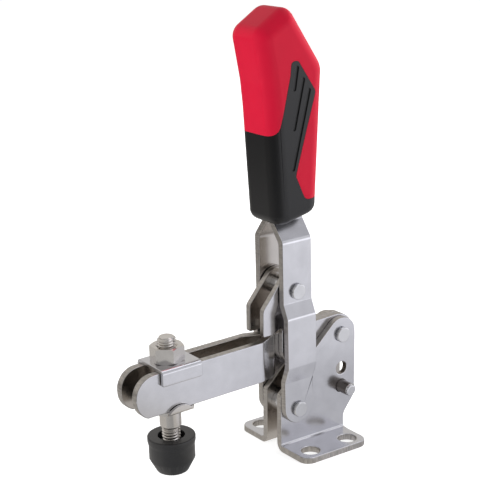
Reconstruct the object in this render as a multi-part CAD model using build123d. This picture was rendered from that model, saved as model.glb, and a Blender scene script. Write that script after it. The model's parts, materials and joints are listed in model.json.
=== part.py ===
"""Toggle clamp with an upright handle, an open clamping arm and a flanged base.

Millimetres. +X runs forward along the arm to the screw, +Y to the left, +Z up.
The origin is the middle of the four mounting holes, on the underside of the base.
The clamp is drawn closed. Left pieces are built and the right ones mirror them.
"""
from build123d import *
import os
from math import atan2, cos, degrees, radians, sin

os.makedirs("parts", exist_ok=True)

# Pivots, as (x, z)
HANDLE_PIVOT = (10.8, 20.4)      # handle legs on the base
ARM_PIVOT = (-16.6, 48.5)        # clamping arm on the base
LINK_PIVOT = (10.6, 47.7)        # links on the arm
UPPER_PIVOT_HEIGHT = 55.4        # handle pivot up to the pivot of legs and links
HANDLE_LEAN = 1.0                # degrees that the closed handle leans forward
ARM_DROOP = 1.3                  # degrees that the closed arm points down

# Sheet metal, as distances from the middle plane
PLATE = 3.0
BASE_INNER = 3.65
ARM_PLATE = 3.5
ARM_FRONT_INNER = 4.35
LINK_INNER = 3.65
LINK_PLATE = 2.8
LEG_INNER = 7.0
LEG_BULGE = 2.8                  # how far the middle of a leg stands out

# Rivets
PIN_R = 3.0
HEAD_R = 3.6
HEAD_T = 1.2
HEAD_STANDOFF = 0.6              # a head's distance from the sheet beneath it
RUNNING = 0.05                   # radial clearance of a pivot
FIXED = 0.02

# Grip
GRIP_BOTTOM_FRONT = 85.0         # over the handle pivot, as are all heights of the grip
GRIP_BOTTOM_REAR = 90.0
GRIP_HALF = 12.2
GRIP_CORNER_R = 6.6
GRIP_BOTTOM_R = 4.5
GRIP_RIDGE_R = 5.0               # the peak, front to rear
GRIP_FRONT_R = 6.5               # the top front edge

# Base
BASE_FRONT = 18.5
BASE_REAR = -24.6
BASE_FOOT_REAR = -17.9
BASE_TOP_R = 8.0
SLANT = 42.6                     # degrees below horizontal of the front top edge
FLANGE_Y = 24.8
HOLE_SPACING = (21.2, 36.0)
HOLE_R = 4.2                     # clears an M8 screw
SPACER_R = 4.95
STOP_PIN = (-16.6, 23.4)
SPARE_HOLE = (-16.6, 32.1)
STOP_PIN_R = 2.95
STOP_PIN_REACH = 14.0

# Arm, drawn level and then drooped about its pivot
ARM_BOTTOM = 37.8
ARM_TOP = 56.1
ARM_TOP_REAR = 57.5
ARM_FRONT = (93.4, 46.0)         # the foremost point
ARM_NOSE_TOP = 84.5              # x where the round nose leaves the top edge
ARM_NOSE_CORNER = 88.1           # x where it meets the bottom edge, at a corner
ARM_REAR_R = 9.0
JOGGLE = (20.8, 29.6)            # x where the two plates spread apart

# Clamping screw and its hardware, in the level arm's frame
SCREW_X = 72.75
THREAD_R = 3.95
SCREW_TIP = 68.2
SADDLE_T = 1.6
SADDLE_X = (61.8, 81.6)
SADDLE_DEPTH = 7.3
SADDLE_GAP = 0.45                # between the arm and a side of the saddle
NUT_FLATS = 13.0
NUT_H = 6.8
NUT_TURN = 18.6                  # degrees
FLANGE_NUT_R = 10.4
FLANGE_NUT_T = 1.3
EAR_GAP = 0.45                   # between the arm and an ear of the flange nut
EAR_HEIGHT = 3.5
EAR_HALF_LENGTH = 6.6
NECK_R = 4.65
NECK_LENGTH = 8.5
SADDLE_TOP = ARM_TOP + 0.02 + SADDLE_T
CAP_BOTTOM = 6.6
CAP_TOP = 23.4
CAP_R = 10.35
CAP_MOUTH_R = 5.8
CAP_MOUTH_DEPTH = 3.5
HEAD_HEIGHT = 5.3
HEAD_BOTTOM = CAP_BOTTOM + 3.6


def rounded(corners):
    """A flat face through the corners, each (x, y, rounding)."""
    face = make_face(Polyline(*[(x, y) for x, y, r in corners], close=True))
    for x, y, r in corners:
        if r:
            face = fillet(face.vertices().sort_by_distance((x, y, 0))[0], r)
    return face


def slab(outline, low, high):
    """An outline drawn in x and z, as a plate from y = low to y = high."""
    return extrude(Plane.XZ.offset(-high) * outline, amount=high - low)


def disc(place, radius):
    return Pos(place[0], place[1]) * Circle(radius)


def pin(place, radius, low, high):
    return slab(disc(place, radius), low, high)


def turned(place, angle, shape):
    """The shape turned about the cross axis through place, front end down for a positive angle."""
    there = Pos(place[0], 0, place[1])
    return there * Rot(0, angle, 0) * there.inverse() * shape


def mirrored(shape):
    return mirror(shape, about=Plane.XZ)


def rivet(place, reach):
    """A pivot rivet with a flattened head on both sides, whose shank leaves the sheet at y = reach."""
    under = reach + HEAD_STANDOFF
    body = pin(place, PIN_R, -under, under)
    for low, high in ((under, under + HEAD_T), (-under - HEAD_T, -under)):
        body += pin(place, HEAD_R, low, high)
    rims = body.edges().filter_by(GeomType.CIRCLE)
    ends = rims.sort_by(Axis.Y)[0:1] + rims.sort_by(Axis.Y)[-1:]
    return chamfer(ends, 0.35)


# Base ---------------------------------------------------------------------------

def base_outline():
    """Side view of a base plate: upright, with a slanted front top and a narrower foot."""
    cx, cz = ARM_PIVOT
    nx = sin(radians(SLANT))
    nz = cos(radians(SLANT))

    def slant_z(x):
        return cz + (BASE_TOP_R - nx * (x - cx)) / nz

    return rounded([
        (BASE_FRONT, 0, 0),
        (BASE_FRONT, slant_z(BASE_FRONT), 1.5),
        (BASE_REAR, slant_z(BASE_REAR), BASE_TOP_R),
        (BASE_REAR, 17.6, 3),
        (BASE_FOOT_REAR - 0.3, 9.4, 5),
        (BASE_FOOT_REAR - 0.3, 0, 0),
    ])


def base_plate():
    outer = BASE_INNER + PLATE
    section = rounded([
        (BASE_INNER, 70, 0),
        (BASE_INNER, 0, PLATE + 1),
        (FLANGE_Y, 0, 0),
        (FLANGE_Y, PLATE, 0),
        (outer, PLATE, 1),
        (outer, 70, 0),
    ])
    angle_bar = extrude(Plane.YZ.offset(-30) * section, amount=60)
    foot = rounded([
        (BASE_FRONT, outer, 0),
        (BASE_FRONT, FLANGE_Y, 5),
        (BASE_FOOT_REAR, FLANGE_Y, 5),
        (BASE_FOOT_REAR, outer + 1.5, 2),
        (-30, outer + 1.5, 0),
        (-30, 0, 0),
        (BASE_FRONT, 0, 0),
    ])
    plate = angle_bar & slab(base_outline(), 0, 30) & extrude(foot, amount=70)
    for x in (-HOLE_SPACING[0] / 2, HOLE_SPACING[0] / 2):
        plate -= Pos(x, HOLE_SPACING[1] / 2, 0) * Cylinder(HOLE_R, 3 * PLATE)
    for place, radius in (
        (HANDLE_PIVOT, PIN_R + FIXED),
        (ARM_PIVOT, PIN_R + FIXED),
        (STOP_PIN, STOP_PIN_R + FIXED),
        (SPARE_HOLE, STOP_PIN_R + RUNNING),
    ):
        plate -= pin(place, radius, 0, 10)
    return plate


def base_spacer():
    tube = pin(HANDLE_PIVOT, SPACER_R, -BASE_INNER, BASE_INNER)
    return tube - pin(HANDLE_PIVOT, PIN_R + FIXED, -10, 10)


def stop_pin():
    body = pin(STOP_PIN, STOP_PIN_R, -STOP_PIN_REACH, STOP_PIN_REACH)
    return chamfer(body.edges().filter_by(GeomType.CIRCLE), 0.8)


# Handle, drawn upright and then leaned about its pivot ---------------------------

def upper_pivot():
    return (HANDLE_PIVOT[0], HANDLE_PIVOT[1] + UPPER_PIVOT_HEIGHT)


def leg_section():
    """Front view of a leg: bulged past the link rivet, drawn in under the grip."""
    low = (13.4, 20.9)           # the lower joggle, above the handle pivot
    high = (44.0, 50.4)          # the upper joggle
    neck = (78.6, 86.4)          # the bend into the grip
    top = 122.0
    inner = LEG_INNER
    outer = LEG_INNER + PLATE
    drawn_in = 6.0
    shift = 1.0                  # bends of the inner face lie lower, for an even thickness
    return rounded([
        (outer, -10, 0),
        (outer, low[0], 0), (outer + LEG_BULGE, low[1], 4),
        (outer + LEG_BULGE, high[0], 4), (outer, high[1], 0),
        (outer, neck[0], 4), (outer - drawn_in, neck[1], 3),
        (outer - drawn_in, top, 0), (inner - drawn_in, top, 0),
        (inner - drawn_in, neck[1] - shift, 4), (inner, neck[0] - shift, 3),
        (inner, high[1] - shift / 2, 4), (inner + LEG_BULGE, high[0] - shift / 2, 3),
        (inner + LEG_BULGE, low[1] + shift / 2, 3), (inner, low[0] + shift / 2, 4),
        (inner, -10, 0),
    ])


def leg_outline():
    """Side view of a leg, round at the lower end."""
    middle = -0.3
    half = 7.95
    end_r = 7.9
    low = -6.8
    top = 122.0
    return rounded([
        (middle - half, low, end_r), (middle + half, low, end_r),
        (middle + half, top, 2), (middle - half, top, 2),
    ])


def handle_leg():
    ribbon = extrude(Plane.YZ.offset(-20) * leg_section(), amount=40)
    leg = Pos(HANDLE_PIVOT[0], 0, HANDLE_PIVOT[1]) * (ribbon & slab(leg_outline(), 0, 20))
    leg -= pin(HANDLE_PIVOT, PIN_R + RUNNING, 0, 20)
    leg -= pin(upper_pivot(), PIN_R + FIXED, 0, 20)
    return leg


def upper_rivets():
    """The rivet of legs and links, open between the legs, where the linkage is opened."""
    inner_end = LEG_INNER - 0.1
    gap = pin(upper_pivot(), 5, -inner_end, inner_end)
    return rivet(upper_pivot(), LEG_INNER + PLATE + 0.02) - gap


def grip_body():
    """The whole grip: a slightly flared bar with a peaked top, over the handle pivot."""
    side = rounded([
        (11.0, GRIP_BOTTOM_FRONT, 0), (13.7, 136, 40), (14.7, 147, 20), (18.6, 168.9, GRIP_FRONT_R),
        (1.6, 179.4, GRIP_RIDGE_R), (-15.9, 152.5, 9), (-11.7, GRIP_BOTTOM_REAR, 0),
    ])
    bar = slab(side, -GRIP_HALF, GRIP_HALF)
    long_edges = [
        edge for edge in bar.edges()
        if abs(abs(edge.center().Y) - GRIP_HALF) < 0.01 and edge.center().Z > GRIP_BOTTOM_REAR
    ]
    bar = fillet(long_edges, GRIP_CORNER_R)
    underside = bar.faces().sort_by(Axis.Z)[0]
    return fillet(underside.edges(), GRIP_BOTTOM_R)


def dark_region():
    """Side view of the dark part: the lower grip and a panel that runs up the side."""
    outline = rounded([
        (30, 70, 0), (30, 125.4, 0), (9.8, 125.4, 5), (6.7, 137, 20), (3.4, 150, 8),
        (2.8, 155.9, 2), (-0.9, 155.9, 2), (-9.9, 142.2, 2.5), (-4.9, 127, 30),
        (1.3, 107.3, 3), (-3.6, 96.3, 3), (-30, 96.3, 0), (-30, 70, 0),
    ])
    return slab(outline, -30, 30)


def grooves():
    """Three long shallow grooves on each side panel, as (x, z) ends."""
    runs = (
        ((-0.2, 153.0), (1.4, 144.3)),
        ((-3.3, 147.8), (1.8, 127.6)),
        ((-6.3, 143.0), (2.6, 110.5)),
    )
    width = 1.7
    depth = 0.6
    cuts = []
    for (x0, z0), (x1, z1) in runs:
        length = ((x1 - x0) ** 2 + (z1 - z0) ** 2) ** 0.5
        angle = degrees(atan2(z1 - z0, x1 - x0))
        flat = Pos((x0 + x1) / 2, (z0 + z1) / 2) * Rot(0, 0, angle)
        for low in (GRIP_HALF - depth, -GRIP_HALF - 1):
            cuts.append(slab(flat * SlotOverall(length + width, width), low, low + depth + 1))
    return cuts


def grips():
    body = grip_body()
    legs = extrude(Plane.YZ.offset(-20) * leg_section(), amount=40) & slab(leg_outline(), 0, 20)
    room = legs + mirrored(legs)
    dark = (body & dark_region()) - room
    for cut in grooves():
        dark -= cut
    bright = (body - dark_region()) - room
    over_pivot = Pos(HANDLE_PIVOT[0], 0, HANDLE_PIVOT[1])
    return over_pivot * dark, over_pivot * bright


def lean(shape):
    return turned(HANDLE_PIVOT, HANDLE_LEAN, shape)


def leaned_upper_pivot():
    a = radians(HANDLE_LEAN)
    return (HANDLE_PIVOT[0] + UPPER_PIVOT_HEIGHT * sin(a), HANDLE_PIVOT[1] + UPPER_PIVOT_HEIGHT * cos(a))


# Links ---------------------------------------------------------------------------

def link_outline():
    """Side view of a link: a nose in front that comes to rest on the arm."""
    bx, bz = leaned_upper_pivot()
    dx, dz = LINK_PIVOT
    top_r = 7.6
    end_r = 6.6
    slant = radians(50.2)        # the front top edge, below horizontal
    nx = sin(slant)
    nz = cos(slant)

    def slant_z(x):
        return bz + (top_r - nx * (x - bx)) / nz

    nose = 27.5
    nose_z = 56.6
    return rounded([
        (dx - end_r, dz - end_r, end_r - 0.01), (dx + end_r, dz - end_r, end_r - 0.01),
        (dx + end_r, 59.4, 1.2), (22.4, nose_z, 2), (nose, nose_z, 0.8),
        (nose, slant_z(nose), 3), (bx - top_r, slant_z(bx - top_r), top_r - 0.01),
    ])


def link_plate():
    plate = slab(link_outline(), LINK_INNER, LINK_INNER + LINK_PLATE)
    plate -= pin(leaned_upper_pivot(), PIN_R + RUNNING, 0, 10)
    plate -= pin(LINK_PIVOT, PIN_R + RUNNING, 0, 10)
    return plate


def link_bush():
    tube = pin(leaned_upper_pivot(), 4.6, -LINK_INNER, LINK_INNER)
    return tube - pin(leaned_upper_pivot(), PIN_R + RUNNING, -10, 10)


# Arm -----------------------------------------------------------------------------

def arm_outline():
    """Side view of the level arm: a straight bar with a round nose, tapered behind the joggle."""
    cx, cz = ARM_PIVOT
    rear = cx - ARM_REAR_R
    nose = make_face([
        Line((30, ARM_TOP), (ARM_NOSE_TOP, ARM_TOP)),
        TangentArc((ARM_NOSE_TOP, ARM_TOP), ARM_FRONT, tangent=(1, 0)),
        TangentArc(ARM_FRONT, (ARM_NOSE_CORNER, ARM_BOTTOM), tangent=(0, -1)),
        Polyline((ARM_NOSE_CORNER, ARM_BOTTOM), (30, ARM_BOTTOM), (30, ARM_TOP)),
    ])
    tail = rounded([
        (rear, ARM_TOP_REAR, ARM_REAR_R - 0.3), (30, ARM_TOP, 0), (30, ARM_BOTTOM, 0),
        (26.5, ARM_BOTTOM, 0), (21.5, 36.1, 3), (13.5, 41.7, 4), (cx, cz - ARM_REAR_R, 0),
        (rear, cz - ARM_REAR_R, ARM_REAR_R - 0.5),
    ])
    return nose + tail


def arm_plate():
    """A plate that lies against its twin at the rear and stands off it in front."""
    near, far = JOGGLE
    inner = ARM_FRONT_INNER
    gap = 0.02
    shift = 0.9
    ribbon = rounded([
        (-40, gap, 0), (near + shift, gap, 5), (far + shift, inner, 3), (110, inner, 0),
        (110, inner + ARM_PLATE, 0), (far - shift, inner + ARM_PLATE, 5),
        (near - shift, gap + ARM_PLATE, 3), (-40, gap + ARM_PLATE, 0),
    ])
    plate = extrude(ribbon, amount=80) & slab(arm_outline(), 0, 20)
    plate = droop(plate)
    plate -= pin(ARM_PIVOT, PIN_R + RUNNING, -1, 10)
    plate -= pin(LINK_PIVOT, PIN_R + FIXED, -1, 10)
    return plate


def droop(shape):
    return turned(ARM_PIVOT, ARM_DROOP, shape)


# Clamping screw ------------------------------------------------------------------

def saddle():
    """The channel that sits over the arm's top edges, under the lock nut."""
    inner = ARM_FRONT_INNER + ARM_PLATE + SADDLE_GAP
    outer = inner + SADDLE_T
    low = SADDLE_TOP - SADDLE_DEPTH
    ceiling = SADDLE_TOP - SADDLE_T
    section = rounded([
        (-outer, low, 0.6), (-outer, SADDLE_TOP, 2.2), (outer, SADDLE_TOP, 2.2),
        (outer, low, 0.6), (inner, low, 0.3), (inner, ceiling, 0.1),
        (-inner, ceiling, 0.1), (-inner, low, 0.3),
    ])
    rear, front = SADDLE_X
    channel = extrude(Plane.YZ.offset(rear) * section, amount=front - rear)
    over = SADDLE_TOP + 1
    side = rounded([(rear, low, 1.2), (front, low, 0.8), (front, over, 0), (rear, over, 0)])
    channel &= slab(side, -20, 20)
    return channel - Pos(SCREW_X, 0, SADDLE_TOP) * Cylinder(THREAD_R + 0.3, 10)


def lock_nut():
    blank = extrude(RegularPolygon(NUT_FLATS / 2, 6, major_radius=False), amount=NUT_H)
    corner_r = NUT_FLATS / 2 / cos(radians(30))
    crowned = Cylinder(corner_r, NUT_H, align=(Align.CENTER, Align.CENTER, Align.MIN))
    blank &= chamfer(crowned.edges(), 0.55, 0.95)
    blank -= Cylinder(THREAD_R + RUNNING, 40)
    return Pos(SCREW_X, 0, SADDLE_TOP) * Rot(0, 0, NUT_TURN) * blank


def flange_nut():
    """A threaded neck on a disc, with two edges bent up outside the arm to stop it turning."""
    seat = ARM_BOTTOM - 0.02
    floor = seat - FLANGE_NUT_T
    inner = ARM_FRONT_INNER + ARM_PLATE + EAR_GAP
    outer = inner + FLANGE_NUT_T
    section = rounded([
        (-outer, floor, FLANGE_NUT_T), (outer, floor, FLANGE_NUT_T),
        (outer, floor + EAR_HEIGHT, 0), (inner, floor + EAR_HEIGHT, 0), (inner, seat, 0.4),
        (-inner, seat, 0.4), (-inner, floor + EAR_HEIGHT, 0), (-outer, floor + EAR_HEIGHT, 0),
    ])
    ear_r = (EAR_HALF_LENGTH ** 2 + EAR_HEIGHT ** 2) / (2 * EAR_HEIGHT)
    round_ears = disc((0, floor + EAR_HEIGHT - ear_r), ear_r)
    folded = extrude(Plane.YZ.offset(-15) * section, amount=30)
    ears = folded & slab(round_ears, -20, 20)
    plate = folded & Cylinder(FLANGE_NUT_R, 200) & Pos(0, 0, seat - 5) * Box(40, 2 * inner, 10)
    neck = Pos(0, 0, floor) * Cylinder(
        NECK_R, NECK_LENGTH, align=(Align.CENTER, Align.CENTER, Align.MAX)
    )
    neck = chamfer(neck.edges().filter_by(GeomType.CIRCLE).sort_by(Axis.Z)[0], 0.3)
    body = plate + ears + neck - Pos(0, 0, seat) * Cylinder(THREAD_R + RUNNING, 60)
    return Pos(SCREW_X, 0, 0) * body


def screw():
    shank_length = SCREW_TIP - HEAD_BOTTOM - HEAD_HEIGHT
    shank = Cylinder(THREAD_R, shank_length, align=(Align.CENTER, Align.CENTER, Align.MIN))
    shank = chamfer(shank.edges().filter_by(GeomType.CIRCLE).sort_by(Axis.Z)[-1], 0.45)
    head = extrude(RegularPolygon(NUT_FLATS / 2, 6, major_radius=False), amount=-HEAD_HEIGHT)
    return Pos(SCREW_X, 0, HEAD_BOTTOM + HEAD_HEIGHT) * (shank + head)


def pad_cap():
    """A rubber cap over the screw head, open at the top round the thread."""
    room = 0.05
    cavity_r = NUT_FLATS / 2 / cos(radians(30)) + room
    head_top = HEAD_BOTTOM + HEAD_HEIGHT
    mouth_floor = CAP_TOP - CAP_MOUTH_DEPTH
    wall_r = CAP_R - 0.45
    outline = Polyline(
        (0, CAP_BOTTOM), (5.2, CAP_BOTTOM), (6.9, CAP_BOTTOM + 0.9), (wall_r, CAP_BOTTOM + 6.6),
        (wall_r, CAP_TOP - 4.2), (CAP_R, CAP_TOP - 2.2), (CAP_R, CAP_TOP - 0.3), (CAP_R - 0.3, CAP_TOP),
        (CAP_MOUTH_R, CAP_TOP), (CAP_MOUTH_R, mouth_floor), (THREAD_R + room, mouth_floor),
        (THREAD_R + room, head_top + room), (cavity_r, head_top + room),
        (cavity_r, HEAD_BOTTOM - room), (0, HEAD_BOTTOM - room), close=True,
    )
    half = Plane.XZ * make_face(outline)
    return Pos(SCREW_X, 0, 0) * revolve(half, Axis.Z)


def build():
    parts = {}

    def both_sides(name, left):
        parts[name + "_left"] = left
        parts[name + "_right"] = mirrored(left)

    both_sides("base_plate", base_plate())
    parts["base_spacer"] = base_spacer()
    parts["handle_pivot_rivet"] = rivet(HANDLE_PIVOT, LEG_INNER + PLATE + 0.1)
    parts["arm_pivot_rivet"] = rivet(ARM_PIVOT, BASE_INNER + PLATE + FIXED)
    parts["stop_pin"] = stop_pin()

    both_sides("handle_leg", lean(handle_leg()))
    parts["upper_pivot_rivets"] = lean(upper_rivets())
    dark, bright = grips()
    parts["grip_core"] = lean(dark)
    parts["grip_cover"] = lean(bright)

    both_sides("link_plate", link_plate())
    parts["link_bush"] = link_bush()

    both_sides("arm_plate", arm_plate())
    parts["arm_link_rivet"] = rivet(LINK_PIVOT, LINK_INNER + LINK_PLATE + 0.1)

    parts["saddle"] = droop(saddle())
    parts["lock_nut"] = droop(lock_nut())
    parts["flange_nut"] = droop(flange_nut())
    parts["clamp_screw"] = droop(screw())
    parts["pad_cap"] = droop(pad_cap())
    return parts


for name, shape in build().items():
    export_step(shape, "parts/" + name + ".step")
    box = shape.bounding_box()
    print(name, len(shape.solids()), round(shape.volume), box.min, box.max)
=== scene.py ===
# %% [markdown]
# # A toggle clamp: stainless sheet, a two-colour grip and a rubber-capped screw
#
# The clamp's solids come from a imported CAD model, so this script has one job: to give each piece the
# surface that its making left on it. Sheet parts are punched, so they have satin faces and rough, darker
# edges. The grip is moulded in two shots. The screw is rolled, so its thread is a real helix.
#
# The frame is loaded first.

import json
from math import ceil, cos, degrees, pi, radians, sin

import bmesh
import bpy
from mathutils import Matrix, Vector
from mathutils.bvhtree import BVHTree


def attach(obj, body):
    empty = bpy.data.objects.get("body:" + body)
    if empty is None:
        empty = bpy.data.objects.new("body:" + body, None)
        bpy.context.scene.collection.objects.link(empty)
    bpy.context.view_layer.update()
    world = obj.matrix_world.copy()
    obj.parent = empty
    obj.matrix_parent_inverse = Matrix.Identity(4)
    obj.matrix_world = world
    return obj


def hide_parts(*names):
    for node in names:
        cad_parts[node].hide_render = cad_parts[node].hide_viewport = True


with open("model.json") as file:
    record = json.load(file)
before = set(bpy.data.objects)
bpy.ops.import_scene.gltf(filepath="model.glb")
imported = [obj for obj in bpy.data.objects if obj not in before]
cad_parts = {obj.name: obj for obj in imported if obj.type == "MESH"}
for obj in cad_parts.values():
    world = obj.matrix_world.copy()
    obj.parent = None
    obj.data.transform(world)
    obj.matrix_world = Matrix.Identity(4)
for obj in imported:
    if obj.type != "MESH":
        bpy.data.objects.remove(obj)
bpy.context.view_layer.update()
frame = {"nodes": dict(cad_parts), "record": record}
nodes = frame["nodes"]
MM = 0.001
print("pieces in the frame:", len(nodes))

# %% [markdown]
# Colours are written as the sRGB hex values that a screen shows, and Blender works in linear light, so one
# function turns one into the other. One more function adds a shader node with its settings and its links.

# %% Colour and node helpers


def colour(hex_code):
    """Linear RGBA of an sRGB colour such as '#C8C8CC'."""
    channels = [int(hex_code[i:i + 2], 16) / 255 for i in (1, 3, 5)]
    linear = [c / 12.92 if c <= 0.04045 else ((c + 0.055) / 1.055) ** 2.4 for c in channels]
    return (*linear, 1.0)


def add(tree, kind, settings=None, inputs=None):
    """Adds a node. Settings are its properties, inputs are values or the sockets of other nodes."""
    node = tree.nodes.new(kind)
    for name, value in (settings or {}).items():
        setattr(node, name, value)
    for name, value in (inputs or {}).items():
        socket = node.inputs[name]
        if isinstance(value, bpy.types.NodeSocket):
            tree.links.new(value, socket)
        else:
            socket.default_value = value
    return node


def new_material(name):
    """A material with only an output, and its tree."""
    material = bpy.data.materials.new(name)
    material.use_nodes = True
    tree = material.node_tree
    tree.nodes.clear()
    add(tree, "ShaderNodeOutputMaterial")
    return material, tree


def finish_surface(tree, shader):
    """Links a shader to the material's output."""
    output = tree.nodes["Material Output"]
    tree.links.new(shader, output.inputs["Surface"])


print("the screen's mid grey is this share of full light:", round(colour("#808080")[0], 3))

# %% [markdown]
# ## Stainless steel
#
# The sheet is rolled, punched and then tumbled in grit, which rubs the mill finish into an even satin. The
# grain is much finer than a picture element, so it shows as a soft, slightly uneven roughness. A brushed
# look would need long lines in one direction, but tumbling has none, so two plain noises are enough: a wide
# one for the tone and a fine one for the roughness. Faces inside the clamp see less light and more of its
# own steel, so a darker, warmer tone is painted on them: painted shade and a painted reflection of the steel.

# %% Stainless steel

BLOTCH = 7 * MM              # soft unevenness left by the tumbling
GRIT = 0.3 * MM              # the satin grain
GRIT_ROUGHNESS = 0.08        # how far the grain moves the roughness, from end to end
LOOKS_IN = -0.5 * MM         # distance from the middle plane times facing, below which a face looks at it
NOISE_LOW = 0.3              # nearly all of a noise lies between these two
NOISE_HIGH = 0.7


def even_steel(name, tone, rough, inside=None):
    """Steel with a satin grain. Faces that look at the clamp's middle plane can get the inside tone as
    painted shade.
    """
    material, tree = new_material(name)
    place = add(tree, "ShaderNodeTexCoord").outputs["Object"]
    blotch = add(tree, "ShaderNodeTexNoise", None, {
        "Vector": place, "Scale": 1 / BLOTCH, "Detail": 3.0, "Roughness": 0.5})
    grit = add(tree, "ShaderNodeTexNoise", None, {"Vector": place, "Scale": 1 / GRIT, "Detail": 1.0})
    uneven = add(tree, "ShaderNodeMapRange", None, {
        "Value": blotch.outputs["Fac"], "From Min": NOISE_LOW, "From Max": NOISE_HIGH,
        "To Min": 0.95, "To Max": 1.04})
    normal = add(tree, "ShaderNodeNewGeometry").outputs["True Normal"]
    depth = add(tree, "ShaderNodeSeparateXYZ", None, {"Vector": place})
    facing = add(tree, "ShaderNodeSeparateXYZ", None, {"Vector": normal})
    outwards = add(tree, "ShaderNodeMath", {"operation": "MULTIPLY"}, {
        0: depth.outputs["Y"], 1: facing.outputs["Y"]})
    # Faces that look at the middle plane get the inside tone, which is painted shade and painted reflection.
    painted_shade_mask = add(tree, "ShaderNodeMath", {"operation": "LESS_THAN"}, {
        0: outwards.outputs["Value"], 1: LOOKS_IN})
    pair = add(tree, "ShaderNodeMix", {"data_type": "VECTOR"}, {
        "Factor": painted_shade_mask.outputs["Value"], 4: colour(tone)[:3], 5: colour(inside or tone)[:3]})
    tint = add(tree, "ShaderNodeVectorMath", {"operation": "SCALE"}, {
        0: pair.outputs[1], "Scale": uneven.outputs["Result"]})
    roughness = add(tree, "ShaderNodeMath", {"operation": "MULTIPLY_ADD"}, {
        0: grit.outputs["Fac"], 1: GRIT_ROUGHNESS, 2: rough - GRIT_ROUGHNESS / 2})
    shader = add(tree, "ShaderNodeBsdfPrincipled", None, {
        "Base Color": tint.outputs["Vector"], "Metallic": 1.0, "Roughness": roughness.outputs["Value"]})
    finish_surface(tree, shader.outputs["BSDF"])
    return material


# The inside tone is painted shade: darker and warmer, for faces between the plates that see less light.
sheet_steel = even_steel("tumbled stainless sheet", "#D9D9DD", 0.20, inside="#CAC5C0")
turned_steel = even_steel("turned stainless rivet steel", "#DEDEE0", 0.20)
screw_steel = even_steel("rolled stainless screw steel", "#DCD8D4", 0.20)
# The stop pin's sides get this dark steel as painted shade and a painted dark reflection.
painted_dark_pin_steel = even_steel("stainless pin steel with painted shade", "#7C7672", 0.32)
for steel in (sheet_steel, turned_steel, screw_steel, painted_dark_pin_steel):
    print("even steel:", steel.name)

# %% [markdown]
# A punch shears the last part of a thickness, so a punched edge is duller, a little browner, and scored
# across the sheet. The lines are a noise drawn out across the sheet, in tone and in height. The plates stand
# upright, so across is sideways on them, and upright on the flanges that lie flat.

# %% Punched edges

SCORE = 0.5 * MM             # the sheared lines of a punched edge, coarser than real so that they show
SCORE_DEPTH = 0.08 * MM
DRAWN_OUT = 0.12             # the noise is read this slowly along a line
FLANGE_TOP = 3.1 * MM        # below this the sheet lies flat


def scored_steel(name, tone, rough):
    """A punched edge: lines across the sheet, in tone and in height."""
    material, tree = new_material(name)
    place = add(tree, "ShaderNodeTexCoord").outputs["Object"]
    split = add(tree, "ShaderNodeSeparateXYZ", None, {"Vector": place})
    lies_flat = add(tree, "ShaderNodeMath", {"operation": "LESS_THAN"}, {
        0: split.outputs["Z"], 1: FLANGE_TOP})
    across = add(tree, "ShaderNodeMapping", None, {"Vector": place, "Scale": (1.0, DRAWN_OUT, 1.0)})
    upright = add(tree, "ShaderNodeMapping", None, {"Vector": place, "Scale": (1.0, 1.0, DRAWN_OUT)})
    stretched = add(tree, "ShaderNodeMix", {"data_type": "VECTOR"}, {
        "Factor": lies_flat.outputs["Value"], 4: across.outputs["Vector"], 5: upright.outputs["Vector"]})
    score = add(tree, "ShaderNodeTexNoise", None, {
        "Vector": stretched.outputs[1], "Scale": 1 / SCORE, "Detail": 3.0, "Roughness": 0.6})
    lines = add(tree, "ShaderNodeMapRange", None, {
        "Value": score.outputs["Fac"], "From Min": NOISE_LOW, "From Max": NOISE_HIGH,
        "To Min": 0.62, "To Max": 1.1})
    tint = add(tree, "ShaderNodeVectorMath", {"operation": "SCALE"}, {
        0: colour(tone)[:3], "Scale": lines.outputs["Result"]})
    bump = add(tree, "ShaderNodeBump", None, {
        "Strength": 0.35, "Distance": SCORE_DEPTH, "Height": score.outputs["Fac"]})
    shader = add(tree, "ShaderNodeBsdfPrincipled", None, {
        "Base Color": tint.outputs["Vector"], "Metallic": 1.0, "Roughness": rough,
        "Normal": bump.outputs["Normal"]})
    finish_surface(tree, shader.outputs["BSDF"])
    return material


edge_steel = scored_steel("punched stainless edge", "#C6C1BC", 0.34)
print("scored steel:", edge_steel.name)

# %% [markdown]
# ## Moulded plastics and rubber
#
# The grip is moulded in two shots: a dark, slightly soft plastic first and a red one over it. Both leave a
# mould whose walls were spark-eroded, so they have a fine satin grain and a soft, wide highlight. The cap on
# the screw is moulded rubber, with the same grain but deeper. One function makes all three, because they
# differ only in colour, roughness and shine.

# %% Moulded plastics and rubber

GRAIN = 0.28 * MM            # the mould's grain, a little coarser than real so that it shows
GRAIN_ROUGHNESS = 0.10       # how far the grain moves the roughness, from end to end
PLASTIC_GRAIN_DEPTH = 0.02 * MM
RUBBER_GRAIN_DEPTH = 0.03 * MM
DRIFT = 14 * MM              # slow changes of colour in the moulding


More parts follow.
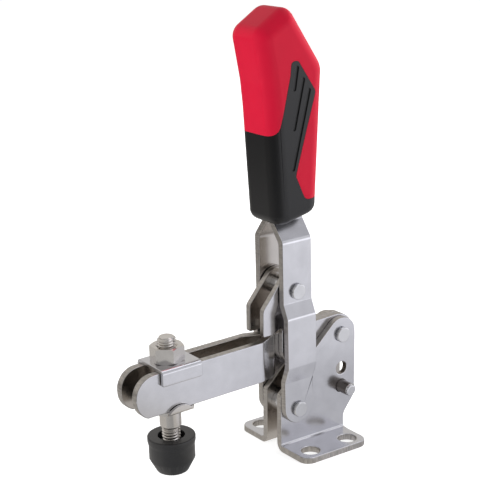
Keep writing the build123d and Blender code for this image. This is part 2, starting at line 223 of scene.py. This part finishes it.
def moulded(name, tone, rough, grain_depth, shift=0.05, shine=0.5):
    """A moulded plastic or rubber with an even grain and a slight drift in its colour."""
    material, tree = new_material(name)
    place = add(tree, "ShaderNodeTexCoord").outputs["Object"]
    drift = add(tree, "ShaderNodeTexNoise", None, {"Vector": place, "Scale": 1 / DRIFT, "Detail": 2.0})
    grain = add(tree, "ShaderNodeTexNoise", None, {"Vector": place, "Scale": 1 / GRAIN, "Detail": 2.0})
    strength = add(tree, "ShaderNodeMapRange", None, {
        "Value": drift.outputs["Fac"], "From Min": NOISE_LOW, "From Max": NOISE_HIGH,
        "To Min": 1 - shift, "To Max": 1 + shift})
    tint = add(tree, "ShaderNodeVectorMath", {"operation": "SCALE"}, {
        0: colour(tone)[:3], "Scale": strength.outputs["Result"]})
    roughness = add(tree, "ShaderNodeMath", {"operation": "MULTIPLY_ADD"}, {
        0: grain.outputs["Fac"], 1: GRAIN_ROUGHNESS, 2: rough - GRAIN_ROUGHNESS / 2})
    bump = add(tree, "ShaderNodeBump", None, {
        "Strength": 0.25, "Distance": grain_depth, "Height": grain.outputs["Fac"]})
    shader = add(tree, "ShaderNodeBsdfPrincipled", None, {
        "Base Color": tint.outputs["Vector"], "Roughness": roughness.outputs["Value"],
        "Specular IOR Level": shine, "Normal": bump.outputs["Normal"]})
    finish_surface(tree, shader.outputs["BSDF"])
    return material


red_plastic = moulded(
    "red moulded grip plastic", "#CF0D33", 0.42, PLASTIC_GRAIN_DEPTH, shift=0.02, shine=0.25)
dark_plastic = moulded("dark soft grip plastic", "#0C0C0E", 0.36, PLASTIC_GRAIN_DEPTH)
rubber = moulded("black moulded rubber", "#1D1D1F", 0.38, RUBBER_GRAIN_DEPTH, shine=0.8)
for plastic in (red_plastic, dark_plastic, rubber):
    print("moulding:", plastic.name)

# %% [markdown]
# ## Pieces that stand for the CAD pieces
#
# Each finished piece rides on the body of the CAD node that it replaces. A CAD mesh comes as loose triangles,
# so these are first joined, and the lines inside flat faces go once the faces are sorted.

# %% Joining a mesh and placing a piece

material_of_slot = {
    "stainless_sheet": sheet_steel,
    "rivet_steel": turned_steel,
    "fastener_steel": screw_steel,
    "dark_grip": dark_plastic,
    "red_grip": red_plastic,
    "black_rubber": rubber,
}
record = frame["record"]
slot_of_node = {part["node"]: part["material_slot"] for part in record["subparts"]}
body_of_node = {node: body for body, names in record["behaviour"]["bodies"].items() for node in names}
WELD = 0.002 * MM            # corners closer than this become one


def joined_copy(node):
    """A bmesh of a CAD node whose triangles share their corners."""
    mesh_bm = bmesh.new()
    mesh_bm.from_mesh(nodes[node].data)
    bmesh.ops.remove_doubles(mesh_bm, verts=mesh_bm.verts, dist=WELD)
    return mesh_bm


def finished_piece(mesh_bm, node, materials):
    """Turns a bmesh into the object that replaces a CAD node."""
    mesh = bpy.data.meshes.new(node + "_finished")
    mesh_bm.to_mesh(mesh)
    mesh_bm.free()
    for material in materials:
        mesh.materials.append(material)
    mesh.polygons.foreach_set("use_smooth", [True] * len(mesh.polygons))
    piece = bpy.data.objects.new(node + "_finished", mesh)
    bpy.context.scene.collection.objects.link(piece)
    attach(piece, body_of_node[node])
    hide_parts(node)
    return piece


print("pieces to finish:", len(slot_of_node), "with", len(material_of_slot), "materials")

# %% [markdown]
# A punched edge is found by its depth. Straight in from a broad face, the other face is one thickness away.
# Straight in from a punched edge, the sheet goes on much further. Faces that run smoothly into each other
# are sorted together, so that a bend stays with its broad face.

# %% Finding the punched edges

SHEET_THICKNESS = {
    "base_plate": 3.0 * MM,
    "handle_leg": 3.0 * MM,
    "arm_plate": 3.5 * MM,
    "link_plate": 2.8 * MM,
    "saddle": 1.6 * MM,
}
CREASE = radians(28)         # a sharper edge than this ends a smooth run of faces
SKIN = 0.01 * MM             # a ray starts this deep, so that it doesn't hit its own face
DEEPEST = 1.2                # thicknesses to the opposite face, with some slack
BACK_TO_BACK = -0.8          # or less, where two normals point away from each other
BROAD_SHARE = 0.5            # of its area has an opposite face, in a run of broad faces
FACE_INDEX = 0
EDGE_INDEX = 1               # the second material, for punched edges and for the stop pin's sides


def smooth_runs(mesh_bm):
    """Yields lists of faces that run into each other without a crease."""
    waiting = set(mesh_bm.faces)
    while waiting:
        run = [waiting.pop()]
        for face in run:
            for edge in face.edges:
                for other in edge.link_faces:
                    if other in waiting and edge.calc_face_angle(0) < CREASE:
                        waiting.discard(other)
                        run.append(other)
        yield run


def mark_punched_edges(mesh_bm, thickness):
    """Gives the edge material to each run of faces that has no opposite face one thickness away."""
    tree = BVHTree.FromBMesh(mesh_bm)
    marked = 0
    for run in smooth_runs(mesh_bm):
        broad = 0
        whole = 0
        for face in run:
            start = face.calc_center_median() - face.normal * SKIN
            hit, normal, _, depth = tree.ray_cast(start, -face.normal)
            area = face.calc_area()
            whole += area
            if hit and depth < DEEPEST * thickness and normal.dot(face.normal) < BACK_TO_BACK:
                broad += area
        if broad < BROAD_SHARE * whole:
            marked += 1
            for face in run:
                face.material_index = EDGE_INDEX
    return marked


print("kinds of sheet:", len(SHEET_THICKNESS))

# %% [markdown]
# The legs are joggled in a press. The hollow side of each joggle is a crisp fold, and smooth shading would
# smear it over the whole height of the joggle. Splitting the mesh there would open it, so two cuts close
# beside the fold keep the smear in a strip too narrow to see.

# %% Keeping the folds crisp

FOLD = radians(20)           # an edge between this and a crease is such a fold
FOLD_STRIP = 0.15 * MM
CUT_SNAP = 0.001 * MM        # corners closer to a cut than this lie on it


def keep_folds_crisp(mesh_bm):
    """Cuts narrow strips beside each fold and gives the folds' heights."""
    heights = sorted({
        round(edge.verts[0].co.z, 5) for edge in mesh_bm.edges if FOLD < edge.calc_face_angle(0) < CREASE})
    for height in heights:
        for side in (-FOLD_STRIP, FOLD_STRIP):
            bmesh.ops.bisect_plane(
                mesh_bm, geom=[*mesh_bm.verts, *mesh_bm.edges, *mesh_bm.faces],
                plane_co=(0, 0, height + side), plane_no=(0, 0, 1), dist=CUT_SNAP)
    return heights


print("each fold gets a strip this wide, in mm:", round(2 * FOLD_STRIP / MM, 2))

# %% [markdown]
# A CAD solid has perfectly sharp edges, and nothing real does: tumbling rounds a sheet's edges by half a
# millimetre, and each one then shows as a thin bright line. Rounding them in the solid would make thousands
# of small faces, so a Bevel modifier does it here. Weighted normals keep the flat faces flat in the light.

# %% Rounding the edges of every CAD piece

FLATTER = radians(0.6)       # faces closer to one plane than this become one face
EDGE_ROUNDING = {
    "base_plate": 0.50 * MM,
    "handle_leg": 0.50 * MM,
    "arm_plate": 0.45 * MM,
    "link_plate": 0.45 * MM,
    "saddle": 0.30 * MM,
    "stop_pin": 0.45 * MM,
    "flange_nut": 0.18 * MM,
    "grip_core": 0.15 * MM,
    "grip_cover": 0.15 * MM,
    "pad_cap": 0.30 * MM,
}
PLAIN_ROUNDING = 0.22 * MM
THIN_TIPPED = ("flange_nut",)    # its ears' tips leave less room than the rounding would take
MODELLED_ANEW = ("clamp_screw", "lock_nut")
PIN_SIDE = 0.2               # or less, for how far a side of the stop pin faces along the pin


def family(node):
    """The name without its side, such as arm_plate."""
    return node.removesuffix("_left").removesuffix("_right")


def round_edges(piece, name, width, segments, sharper_than):
    """Adds a Bevel modifier for the edges that are sharper than an angle."""
    bevel = piece.modifiers.new(name, "BEVEL")
    bevel.width = width
    bevel.segments = segments
    bevel.limit_method = "ANGLE"
    bevel.angle_limit = sharper_than
    return bevel


def rounded_piece(node):
    """Makes the finished piece for a CAD node and gives the number of its punched edges."""
    mesh_bm = joined_copy(node)
    thickness = SHEET_THICKNESS.get(family(node))
    materials = [material_of_slot[slot_of_node[node]]]
    marked = 0
    if thickness:
        materials.append(edge_steel)
        marked = mark_punched_edges(mesh_bm, thickness)
    # The pin's sides take the painted dark steel, which is painted shade and a painted dark reflection. Its
    # ends keep their steel.
    if node == "stop_pin":
        materials.append(painted_dark_pin_steel)
        for face in mesh_bm.faces:
            face.material_index = EDGE_INDEX if abs(face.normal.y) < PIN_SIDE else FACE_INDEX
    bmesh.ops.dissolve_limit(
        mesh_bm, angle_limit=FLATTER, verts=mesh_bm.verts, edges=mesh_bm.edges, delimit={"MATERIAL"})
    if family(node) == "handle_leg":
        print(node, "crisp folds at", keep_folds_crisp(mesh_bm))
    piece = finished_piece(mesh_bm, node, materials)
    width = EDGE_ROUNDING.get(family(node), PLAIN_ROUNDING)
    bevel = round_edges(piece, "rounded edges", width, segments=3, sharper_than=CREASE)
    bevel.use_clamp_overlap = node in THIN_TIPPED
    weighted = piece.modifiers.new("flat faces", "WEIGHTED_NORMAL")
    weighted.keep_sharp = True
    return marked


for node in slot_of_node:
    if node not in MODELLED_ANEW:
        print(node, "rounded, runs of punched edge:", rounded_piece(node))

# %% [markdown]
# ## The screw and its lock nut
#
# Both stand on the screw's axis, which leans with the arm. They are modelled upright on the Z axis and then
# put there. A spin draws a line round an axis and makes the faces between its steps. Where a plane cuts a
# closed form, the cut is filled again, so that the form stays closed.

# %% Shared tools for the screw and the nut

SCREW_X = 72.75 * MM
FLATS_HALF = 6.5 * MM
ARM_PIVOT = Vector((-16.6, 0, 48.5)) * MM
DROOP = radians(1.3)         # the closed arm points this much down

drooped = Matrix.Translation(ARM_PIVOT) @ Matrix.Rotation(DROOP, 4, "Y") @ Matrix.Translation(-ARM_PIVOT)
on_screw_axis = drooped @ Matrix.Translation((SCREW_X, 0, 0))


def drawn_line(mesh_bm, points, closed=False):
    """Joins (radius, height) points by edges and gives the vertices and edges for a spin."""
    verts = [mesh_bm.verts.new((radius, 0, height)) for radius, height in points]
    pairs = list(zip(verts, verts[1:])) + ([(verts[-1], verts[0])] if closed else [])
    return verts + [mesh_bm.edges.new(pair) for pair in pairs]


def cut_and_fill(mesh_bm, place, outward):
    """Cuts off what lies outside a plane and closes the cut."""
    bmesh.ops.bisect_plane(
        mesh_bm, geom=mesh_bm.verts[:] + mesh_bm.edges[:] + mesh_bm.faces[:],
        plane_co=place, plane_no=outward, clear_outer=True)
    bmesh.ops.holes_fill(mesh_bm, edges=[edge for edge in mesh_bm.edges if edge.is_boundary])


def put_on_axis(mesh_bm, move):
    """Moves a finished form to its place, with its faces outwards and its corners sharp."""
    mesh_bm.transform(move)
    bmesh.ops.recalc_face_normals(mesh_bm, faces=mesh_bm.faces)
    for edge in mesh_bm.edges:
        edge.smooth = edge.calc_face_angle(0) < CREASE


print("the screw's axis leans forward, in degrees:", round(degrees(DROOP), 2))

# %% [markdown]
# The thread is rolled, so its crests are rounded and bright. A bump could only tint a smooth rod, and its
# outline would stay straight, so the thread is real: a short profile is spun round the axis and climbs one
# pitch a turn. The hexagonal head sits in the rubber cap.

# %% The screw

PITCH = 1.25 * MM
CREST_R = 3.95 * MM
CREST_EASE = 0.05 * MM       # by which the crest's corners are rolled down
ROOT_R = 3.25 * MM
THREAD_PROFILE = (           # radius, and share of the pitch
    (ROOT_R, 0.0), (ROOT_R, 0.16), (CREST_R - CREST_EASE, 0.46), (CREST_R, 0.52),
    (CREST_R, 0.64), (CREST_R - CREST_EASE, 0.70), (ROOT_R, 1.0))
STEPS = 36                   # of one turn
THREAD_WELD = 0.005 * MM     # joins each turn to the next
ROD_LOW = 15.0 * MM          # just inside the head
ROD_HIGH = 68.2 * MM
TIP_CHAMFER = 0.9 * MM
HEAD_LOW = 10.2 * MM
HEAD_HIGH = 15.5 * MM


def threaded_rod(low, high):
    """A closed rod with a right-hand thread and a chamfered upper end."""
    mesh_bm = bmesh.new()
    turns = ceil((high - low) / PITCH) + 2
    start = low - PITCH
    line = drawn_line(mesh_bm, [(radius, start + share * PITCH) for radius, share in THREAD_PROFILE])
    bmesh.ops.spin(
        mesh_bm, geom=line, cent=(0, 0, 0), axis=(0, 0, 1), dvec=(0, 0, PITCH / STEPS),
        angle=2 * pi * turns, steps=STEPS * turns)
    bmesh.ops.remove_doubles(mesh_bm, verts=mesh_bm.verts, dist=THREAD_WELD)
    for vert in mesh_bm.verts:
        limit = CREST_R - max(0, vert.co.z - (high - TIP_CHAMFER))
        radius = vert.co.xy.length
        if radius > limit:
            vert.co.x *= limit / radius
            vert.co.y *= limit / radius
    cut_and_fill(mesh_bm, (0, 0, high), (0, 0, 1))
    cut_and_fill(mesh_bm, (0, 0, low), (0, 0, -1))
    return mesh_bm


def add_hexagon(mesh_bm, low, high):
    """Adds a closed six-sided head."""
    height = Matrix.Translation((0, 0, (low + high) / 2))
    bmesh.ops.create_cone(
        mesh_bm, cap_ends=True, segments=6, radius1=FLATS_HALF / cos(pi / 6),
        radius2=FLATS_HALF / cos(pi / 6), depth=high - low, matrix=height)


screw_bm = threaded_rod(ROD_LOW, ROD_HIGH)
add_hexagon(screw_bm, HEAD_LOW, HEAD_HIGH)
put_on_axis(screw_bm, on_screw_axis)
print("screw faces:", len(screw_bm.faces))
finished_piece(screw_bm, "clamp_screw", [screw_steel])

# %% [markdown]
# A nut is cold-formed with a crown at both ends, and each flat cuts the crown in an arch. The same cut makes
# it here: a round blank is spun with its crown and its two countersinks, and then the six flats are cut off
# it. A six-sided cylinder with a bevel would have straight lines there.

# %% The lock nut

NUT_LOW = 57.72 * MM
NUT_HEIGHT = 6.8 * MM
NUT_TURN = radians(18.6)
BLANK_STEPS = 120            # of the round blank
CORNER_WEAR = 0.10 * MM


def hexagon_nut():
    """A nut on the Z axis, from 0 up to its height."""
    bore = 4.0 * MM
    mouth = 4.75 * MM
    mouth_depth = 0.8 * MM
    to_spare = 0.02 * MM
    corner = FLATS_HALF / cos(pi / 6) + to_spare
    crown = 6.5 * MM
    crown_depth = 0.6 * MM
    top = NUT_HEIGHT
    mesh_bm = bmesh.new()
    line = drawn_line(mesh_bm, [
        (bore, mouth_depth), (mouth, 0), (crown, 0), (corner, crown_depth),
        (corner, top - crown_depth), (crown, top), (mouth, top), (bore, top - mouth_depth)], closed=True)
    bmesh.ops.spin(
        mesh_bm, geom=line, cent=(0, 0, 0), axis=(0, 0, 1), angle=2 * pi, steps=BLANK_STEPS, use_merge=True)
    for side in range(6):
        angle = (side + 0.5) * pi / 3
        outward = Vector((cos(angle), sin(angle), 0))
        cut_and_fill(mesh_bm, outward * FLATS_HALF, outward)
    return mesh_bm


nut_bm = hexagon_nut()
put_on_axis(nut_bm, on_screw_axis @ Matrix.Translation((0, 0, NUT_LOW)) @ Matrix.Rotation(NUT_TURN, 4, "Z"))
print("nut faces:", len(nut_bm.faces))
nut_piece = finished_piece(nut_bm, "lock_nut", [screw_steel])
round_edges(nut_piece, "worn corners", CORNER_WEAR, segments=2, sharper_than=radians(45))

# %% [markdown]
# ## Studio
#
# Steel shows what is around it, so the room matters more than the lamps. The metal sees a room of its own,
# and the eye and the diffuse light see a plain white one. A Light Path node keeps the two apart. The metal's
# room is built from two things: a run of grey levels along a height or a distance, and a sector of the
# compass where one such run takes over from another.

# %% How the room looks in a reflection

BRIGHT_SIDE = Vector((-0.58, 0.81, 0)).normalized()
VIEWER_SIDE = Vector((0.58, 0.81, 0)).normalized()
GAIN = 1.40                  # steel reflects about two thirds, and this makes up for it


def sector(tree, direction, side, start, full, elsewhere, inside):
    """One colour where a direction leans to a side of the compass, and another elsewhere."""
    flat = add(tree, "ShaderNodeVectorMath", {"operation": "MULTIPLY"}, {0: direction, 1: (1, 1, 0)})
    unit = add(tree, "ShaderNodeVectorMath", {"operation": "NORMALIZE"}, {0: flat.outputs["Vector"]})
    lean = add(tree, "ShaderNodeVectorMath", {"operation": "DOT_PRODUCT"}, {
        0: unit.outputs["Vector"], 1: side})
    share = add(tree, "ShaderNodeMapRange", {"interpolation_type": "SMOOTHSTEP"}, {
        "Value": lean.outputs["Value"], "From Min": start, "From Max": full})
    mix = add(tree, "ShaderNodeMix", {"data_type": "RGBA"}, {
        "Factor": share.outputs["Result"], 6: elsewhere, 7: inside})
    return mix.outputs[2]


def band(tree, value, tint, stops):
    """Grey levels along a value from 0 to 1, as (position, level) stops, in a tint."""
    ramp = add(tree, "ShaderNodeValToRGB", None, {"Fac": value})
    elements = ramp.color_ramp.elements
    elements.remove(elements[1])
    for index, (position, level) in enumerate(stops):
        element = elements.new(position) if index else elements[0]
        element.position = position
        element.color = (level, level, level, 1)
    tinted = add(tree, "ShaderNodeMix", {"data_type": "RGBA", "blend_type": "MULTIPLY"}, {
        "Factor": 1.0, 6: ramp.outputs["Color"], 7: tint})
    return tinted.outputs[2]


COOL = (0.985, 0.985, 1.03, 1)
WARM = (1.03, 1.0, 0.96, 1)
PLAIN = (1, 1, 1, 1)
print("the room is brighter for the metal than its levels say, by a factor of", GAIN)

# %% [markdown]
# The floor is one large pale square. The upright plates mirror the part of it to the clamp's left and rear,
# so that part is bright, and a little darker close to the base. The screw and its nut mirror the floor
# towards the viewer, which is dark further out. Everywhere else the floor is grey and darkens with the
# distance. The eye sees the diffuse paint with the clamp's shadow on it, and a glow that lifts it to white.

# %% Floor

FLOOR_HALF = 3.0
FLOOR_GLOW = 0.74            # for the eye alone
DIM_SPOT = (-0.06, 0.02, 0)  # the floor mirrors a little darker round here, beside the base
DARK_SPOT = (0.05, 0.0, 0)   # the viewer's dark stretch of floor fans out from under the screw
DARK_SIDE = Vector((0.77, 0.64, 0)).normalized()
floor_bm = bmesh.new()
bmesh.ops.create_grid(floor_bm, x_segments=1, y_segments=1, size=FLOOR_HALF)
floor_mesh = bpy.data.meshes.new("studio_floor")
floor_bm.to_mesh(floor_mesh)
floor_bm.free()
floor = bpy.data.objects.new("studio_floor", floor_mesh)
bpy.context.scene.collection.objects.link(floor)

floor_material, floor_tree = new_material("pale studio floor")
rays = add(floor_tree, "ShaderNodeLightPath")
place = add(floor_tree, "ShaderNodeTexCoord").outputs["Object"]
from_base = add(floor_tree, "ShaderNodeVectorMath", {"operation": "SUBTRACT"}, {0: place, 1: DIM_SPOT})
reach = add(floor_tree, "ShaderNodeVectorMath", {"operation": "LENGTH"}, {
    0: from_base.outputs["Vector"]}).outputs["Value"]
bright_floor = band(floor_tree, reach, COOL, (
    (0.0, 0.42), (0.05, 0.44), (0.09, 0.60), (0.45, 0.63), (0.80, 0.95), (1.0, 1.0)))
plain_floor = band(floor_tree, reach, WARM, ((0.0, 0.42), (0.35, 0.38), (0.50, 0.12), (1.0, 0.05)))
near_floor = band(floor_tree, reach, PLAIN, (
    (0.0, 0.26), (0.17, 0.27), (0.24, 0.45), (0.32, 0.30), (0.42, 0.06), (1.0, 0.05)))
level = sector(
    floor_tree, place, BRIGHT_SIDE, start=0.3, full=0.75, elsewhere=plain_floor, inside=bright_floor)
from_screw = add(floor_tree, "ShaderNodeVectorMath", {"operation": "SUBTRACT"}, {0: place, 1: DARK_SPOT})
level = sector(
    floor_tree, from_screw.outputs["Vector"], DARK_SIDE, start=0.80, full=0.93,
    elsewhere=level, inside=near_floor)
paint = add(floor_tree, "ShaderNodeBsdfDiffuse", None, {"Color": colour("#E0E0E0")})
glow = add(floor_tree, "ShaderNodeEmission", None, {
    "Strength": add(floor_tree, "ShaderNodeMath", {"operation": "MULTIPLY"}, {
        0: rays.outputs["Is Camera Ray"], 1: FLOOR_GLOW}).outputs["Value"]})
mirrored = add(floor_tree, "ShaderNodeEmission", None, {"Color": level, "Strength": GAIN})
lit_floor = add(floor_tree, "ShaderNodeAddShader", None, {
    0: paint.outputs["BSDF"], 1: glow.outputs["Emission"]})
for_gloss = add(floor_tree, "ShaderNodeMixShader", None, {
    0: rays.outputs["Is Glossy Ray"], 1: lit_floor.outputs["Shader"], 2: mirrored.outputs["Emission"]})
finish_surface(floor_tree, for_gloss.outputs["Shader"])
floor_mesh.materials.append(floor_material)
print("floor, metres square:", 2 * FLOOR_HALF)

# %% [markdown]
# On the bright side the wall is white low down, then grey, a little lighter and grey again, with a large
# white lamp panel over it all. Bent sheet passes through several of these levels within a few degrees, which
# draws the bright line along each bend. The wall behind the viewer is dark grey, and the rest is mid-grey.

# %% Room

FILL = 0.36                  # white light from all round, on the diffuse surfaces
VIEWER_WALL = (0.30, 0.30, 0.30, 1)
world = bpy.data.worlds.new("white studio room")
bpy.context.scene.world = world
world.use_nodes = True
world_tree = world.node_tree
world_tree.nodes.clear()
world_out = add(world_tree, "ShaderNodeOutputWorld")
rays = add(world_tree, "ShaderNodeLightPath")
direction = add(world_tree, "ShaderNodeTexCoord").outputs["Generated"]
height = add(world_tree, "ShaderNodeSeparateXYZ", None, {"Vector": direction}).outputs["Z"]
bright_wall = band(world_tree, height, COOL, (
    (0.0, 1.0), (0.12, 1.0), (0.24, 0.42), (0.30, 0.42), (0.42, 0.66), (0.60, 0.34), (0.70, 0.34),
    (0.80, 0.95), (0.93, 0.95), (0.98, 0.30)))
plain_wall = band(world_tree, height, WARM, ((0.0, 0.42), (0.3, 0.48), (1.0, 0.36)))
level = sector(
    world_tree, direction, BRIGHT_SIDE, start=0.1, full=0.75, elsewhere=plain_wall, inside=bright_wall)
level = sector(
    world_tree, direction, VIEWER_SIDE, start=0.55, full=0.9, elsewhere=level, inside=VIEWER_WALL)
fill = add(world_tree, "ShaderNodeBackground", None, {"Color": colour("#FFFFFF"), "Strength": FILL})
gloss = add(world_tree, "ShaderNodeBackground", None, {"Color": level, "Strength": GAIN})
shown = add(world_tree, "ShaderNodeBackground", None, {"Color": colour("#FFFFFF"), "Strength": 1.0})
reflected = add(world_tree, "ShaderNodeMixShader", None, {
    0: rays.outputs["Is Glossy Ray"], 1: fill.outputs["Background"], 2: gloss.outputs["Background"]})
seen = add(world_tree, "ShaderNodeMixShader", None, {
    0: rays.outputs["Is Camera Ray"], 1: reflected.outputs["Shader"], 2: shown.outputs["Background"]})
world_tree.links.new(seen.outputs["Shader"], world_out.inputs["Surface"])
print("room:", world.name)

# %% [markdown]
# The lamps shape the plastics. They are hidden from reflections, because the bands of the room stand for
# them there.

# %% Lamps

MIDDLE = Vector((0.03, 0.0, 0.09))   # of the clamp


def soft_lamp(name, place, size, power):
    """A large square lamp that looks at the middle of the clamp."""
    light = bpy.data.lights.new(name, "AREA")
    light.shape = "SQUARE"
    light.size = size
    light.energy = power
    lamp = bpy.data.objects.new(name, light)
    bpy.context.scene.collection.objects.link(lamp)
    lamp.location = place
    lamp.rotation_euler = (MIDDLE - Vector(place)).to_track_quat("-Z", "Y").to_euler()
    lamp.visible_glossy = False
    print(name, "in watts:", power)


soft_lamp("front lamp", (1.15, -0.25, 0.10), 0.5, 14)
soft_lamp("side lamp", (-0.65, 1.05, 0.45), 0.6, 7.5)
soft_lamp("rear lamp", (-1.0, -0.1, 0.6), 0.5, 9)

# %% [markdown]
# The camera stands about half a metre away, above the clamp's front left corner, with a long lens. Its turn,
# tilt and roll are given in turn, and the matrix is built from the three axes that they lead to.

# %% Camera

CAMERA_PLACE = Vector((0.34214, 0.42953, 0.25423))
CAMERA_TURN = radians(35.59)     # from the clamp's left side towards its front
CAMERA_TILT = radians(16.20)     # downwards
CAMERA_ROLL = radians(-0.80)
LENS = 97.06                     # mm

ahead = Vector((
    -sin(CAMERA_TURN) * cos(CAMERA_TILT),
    -cos(CAMERA_TURN) * cos(CAMERA_TILT),
    -sin(CAMERA_TILT),
))
level_right = Vector((-cos(CAMERA_TURN), sin(CAMERA_TURN), 0))
level_up = level_right.cross(ahead)
right = level_right * cos(CAMERA_ROLL) + level_up * sin(CAMERA_ROLL)
up = level_up * cos(CAMERA_ROLL) - level_right * sin(CAMERA_ROLL)

camera_data = bpy.data.cameras.new("camera")
camera_data.lens = LENS
camera_data.clip_start = 0.01
camera = bpy.data.objects.new("camera", camera_data)
bpy.context.scene.collection.objects.link(camera)
axes = Matrix((right, up, -ahead)).transposed()
camera.matrix_world = Matrix.Translation(CAMERA_PLACE) @ axes.to_4x4()
bpy.context.scene.camera = camera
bpy.context.scene.view_settings.view_transform = "Standard"
print("camera to the clamp's middle, in metres:", round((CAMERA_PLACE - MIDDLE).length, 3))
